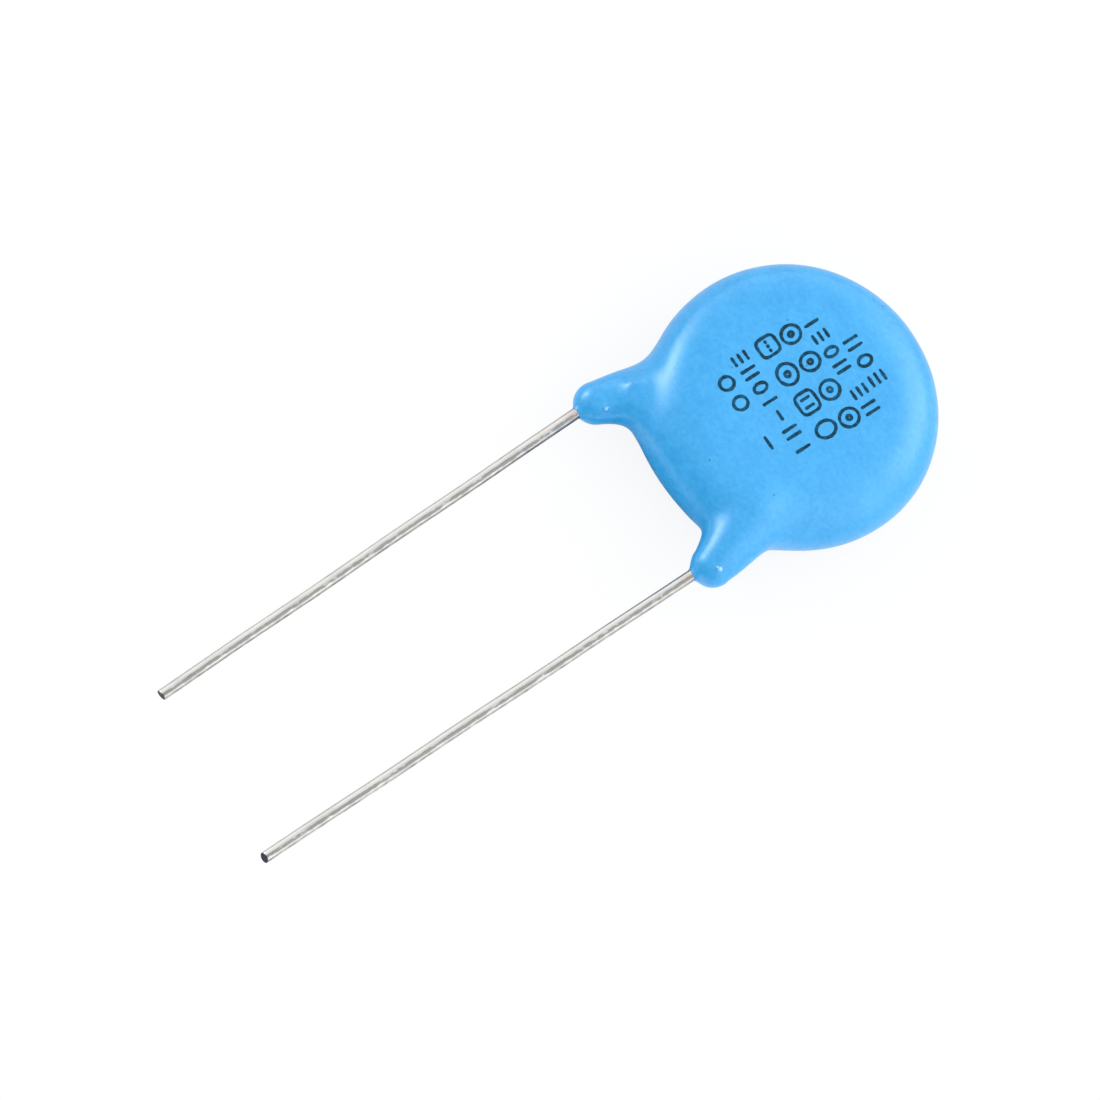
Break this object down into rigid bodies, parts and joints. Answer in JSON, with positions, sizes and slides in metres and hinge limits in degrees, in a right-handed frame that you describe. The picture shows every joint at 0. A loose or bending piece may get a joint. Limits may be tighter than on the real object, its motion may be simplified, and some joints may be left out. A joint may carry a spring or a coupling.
{
  "type": "ceramic disc capacitor",
  "caption": "Radial ceramic disc capacitor: a glossy blue dipped disc with the coating run down each long straight tinned lead in a rounded ear.",
  "frame": {"origin": "on the rear face, which it lies on, midway between the leads and level with the disc's centre", "axes": "+Z out of the front face, -Y along the leads towards their cut ends, +X from the rear face's lead to the front face's lead"},
  "size_m": [0.0147, 0.0446, 0.005],
  "materials": {
    "coating_blue": "gloss",
    "ceramic_tan": "matte",
    "electrode_silver": "matte",
    "solder_grey": "satin",
    "lead_tin": "polished"
  },
  "bodies": {
    "root": {"coating": "coating_blue", "ceramic_disc": "ceramic_tan", "electrode_front": "electrode_silver", "electrode_rear": "electrode_silver", "solder_front": "solder_grey", "solder_rear": "solder_grey", "lead_front": "lead_tin", "lead_rear": "lead_tin"}
  },
  "joints": []
}
